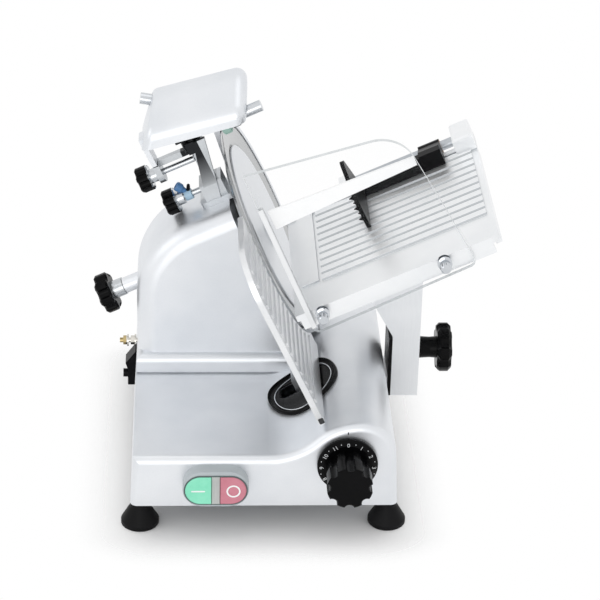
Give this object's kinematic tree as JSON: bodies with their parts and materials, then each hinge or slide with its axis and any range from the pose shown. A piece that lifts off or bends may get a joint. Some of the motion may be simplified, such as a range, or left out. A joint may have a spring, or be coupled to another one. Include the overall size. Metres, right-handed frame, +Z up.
{
  "type": "food slicer",
  "caption": "Tabletop gravity-feed slicer with a tilted round blade, dialled gauge plate, sliding food table with clear guard and pusher, and a sharpener on top.",
  "frame": {"origin": "middle of the overall box in X and Y, at the underside of the feet", "axes": "+Z up, +X towards the food table side, -Y towards the operator"},
  "size_m": [0.3806, 0.3792, 0.3923],
  "materials": {
    "cast_aluminium": "satin anodised casting",
    "bare_aluminium": "machined",
    "blade_steel": "ground and polished",
    "bright_steel": "polished",
    "zinc_screws": "plated",
    "bronze": "sintered",
    "painted_motor": "painted",
    "black_plastic": "moulded",
    "black_rubber": "matt",
    "bezel_grey": "moulded",
    "start_green": "moulded",
    "stop_red": "moulded",
    "lamp_clear": "translucent",
    "clear_acrylic": "clear",
    "white_enamel": "enamelled strip",
    "stone_green": "abrasive",
    "stone_pink": "abrasive"
  },
  "bodies": {
    "machine": {"base_casting": "cast_aluminium", "bottom_cover": "zinc_screws", "feet": "black_rubber", "switch_bezel": "bezel_grey", "lamp_lens": "lamp_clear", "earth_stud": "bright_steel", "cable_gland": "black_plastic", "dial_bush": "bare_aluminium", "gauge_rods": "bright_steel", "gauge_boot": "black_rubber", "drive_belt": "black_rubber", "motor": "painted_motor", "bearing_housing": "bare_aluminium", "blade_bearings": "bright_steel", "blade_guard": "cast_aluminium", "blade_cover": "cast_aluminium", "carriage_shaft": "bright_steel", "guide_rod": "bright_steel", "sharpener_bracket": "cast_aluminium"},
    "blade": {"blade": "blade_steel", "blade_shaft": "bright_steel", "blade_pulley": "bare_aluminium", "blade_screws": "zinc_screws"},
    "rotor": {"motor_rotor": "bright_steel", "motor_pulley": "bare_aluminium"},
    "gauge": {"gauge_plate": "cast_aluminium", "gauge_arm": "bare_aluminium", "gauge_slide": "bare_aluminium", "gauge_bolts": "zinc_screws"},
    "dial": {"dial_disc": "black_plastic", "dial_knob": "black_plastic", "dial_shaft": "bright_steel", "spiral_cam": "bare_aluminium"},
    "carriage": {"food_table": "cast_aluminium", "carriage_arm": "cast_aluminium", "carriage_slider": "bare_aluminium", "slider_bushes": "bronze", "slide_shoe": "bare_aluminium", "wear_pad": "black_plastic", "hand_guard": "clear_acrylic", "guard_bar": "white_enamel", "guard_screws": "bright_steel", "pusher_rod": "bright_steel"},
    "carriage_lock": {"carriage_knob": "black_plastic"},
    "pusher_slide": {"pusher_bush": "bronze"},
    "pusher": {"pusher_arm": "black_plastic", "pusher_plate": "black_plastic"},
    "start": {"start_button": "start_green"},
    "stop": {"stop_button": "stop_red"},
    "sharpener_post": {"sharpener_post": "bright_steel"},
    "sharpener_head": {"sharpener_cover": "cast_aluminium", "sharpener_carrier": "cast_aluminium"},
    "deburr_pin": {"deburr_pin": "bright_steel"},
    "deburr_stone": {"deburr_stone": "stone_green"},
    "grind_pin": {"grind_pin": "bright_steel"},
    "grind_stone": {"grind_stone": "stone_pink"},
    "head_clamp": {"head_clamp_knob": "black_plastic"},
    "post_clamp": {"post_clamp_knob": "black_plastic"},
    "cover_tie": {"cover_knob": "black_plastic"}
  },
  "joints": [
    {"name": "blade_spin", "type": "hinge", "parent": "machine", "child": "blade", "pos_m": [-0.01654, 0.07035, 0.214], "axis": [0.9063, 0, 0.4226], "continuous": true},
    {"name": "rotor_spin", "type": "hinge", "parent": "machine", "child": "rotor", "pos_m": [0.0198, 0.07035, 0.13606], "axis": [0.9063, 0, 0.4226], "continuous": true},
    {"name": "dial_turn", "type": "hinge", "parent": "machine", "child": "dial", "pos_m": [0.05268, -0.14365, 0.0736], "axis": [0, -1, 0], "range_deg": [0, 300]},
    {"name": "gauge_slide", "type": "slide", "parent": "machine", "child": "gauge", "axis": [-0.9063, 0, -0.4226], "range_m": [0, 0.015]},
    {"name": "carriage_slide", "type": "slide", "parent": "machine", "child": "carriage", "axis": [0, 1, 0], "range_m": [-0.1, 0.09]},
    {"name": "carriage_lock_turn", "type": "hinge", "parent": "carriage", "child": "carriage_lock", "pos_m": [0.13248, 0.03435, 0.097], "axis": [1, 0, 0], "range_deg": [0, 360]},
    {"name": "pusher_slide", "type": "slide", "parent": "carriage", "child": "pusher_slide", "axis": [0.9063, 0, 0.4226], "range_m": [-0.07, 0.009]},
    {"name": "pusher_swing", "type": "hinge", "parent": "pusher_slide", "child": "pusher", "pos_m": [0.14264, 0.09635, 0.28436], "axis": [-0.9063, 0, -0.4226], "range_deg": [0, 80]},
    {"name": "start_press", "type": "slide", "parent": "machine", "child": "start", "axis": [0, 1, 0], "range_m": [0, 0.003], "stiffness_N_per_m": 600, "springref_m": -0.002},
    {"name": "stop_press", "type": "slide", "parent": "machine", "child": "stop", "axis": [0, 1, 0], "range_m": [0, 0.003], "stiffness_N_per_m": 600, "springref_m": -0.002},
    {"name": "sharpener_lift", "type": "slide", "parent": "machine", "child": "sharpener_post", "axis": [-0.4226, 0, 0.9063], "range_m": [0, 0.03]},
    {"name": "sharpener_turn", "type": "hinge", "parent": "sharpener_post", "child": "sharpener_head", "pos_m": [-0.09487, 0.07035, 0.31099], "axis": [-0.4226, 0, 0.9063], "range_deg": [0, 180]},
    {"name": "deburr_press", "type": "slide", "parent": "sharpener_head", "child": "deburr_pin", "axis": [-0.9063, 0, -0.4226], "range_m": [0, 0.004], "stiffness_N_per_m": 500, "springref_m": -0.002},
    {"name": "deburr_spin", "type": "hinge", "parent": "deburr_pin", "child": "deburr_stone", "pos_m": [-0.06184, 0.05835, 0.33245], "axis": [0.9063, 0, 0.4226], "continuous": true},
    {"name": "grind_press", "type": "slide", "parent": "sharpener_head", "child": "grind_pin", "axis": [0.9877, 0, -0.1564], "range_m": [0, 0.004], "stiffness_N_per_m": 500, "springref_m": -0.002},
    {"name": "grind_spin", "type": "hinge", "parent": "grind_pin", "child": "grind_stone", "pos_m": [-0.08815, 0.09235, 0.33247], "axis": [0.9877, 0, -0.1564], "continuous": true},
    {"name": "head_clamp_turn", "type": "hinge", "parent": "machine", "child": "head_clamp", "pos_m": [-0.12572, 0.07035, 0.27067], "axis": [-0.9063, 0, -0.4226], "range_deg": [0, 360]},
    {"name": "post_clamp_turn", "type": "hinge", "parent": "machine", "child": "post_clamp", "pos_m": [-0.10728, 0.07035, 0.24296], "axis": [-0.9063, 0, -0.4226], "range_deg": [0, 360]},
    {"name": "cover_tie_turn", "type": "hinge", "parent": "machine", "child": "cover_tie", "pos_m": [-0.01654, 0.07035, 0.214], "axis": [-0.9063, 0, -0.4226], "range_deg": [0, 360]}
  ],
  "couplings": [
    {"joint": "rotor_spin", "follows": "blade_spin", "ratio": 2.1527},
    {"joint": "dial_turn", "follows": "gauge_slide", "rad_per_m": 349.06}
  ]
}
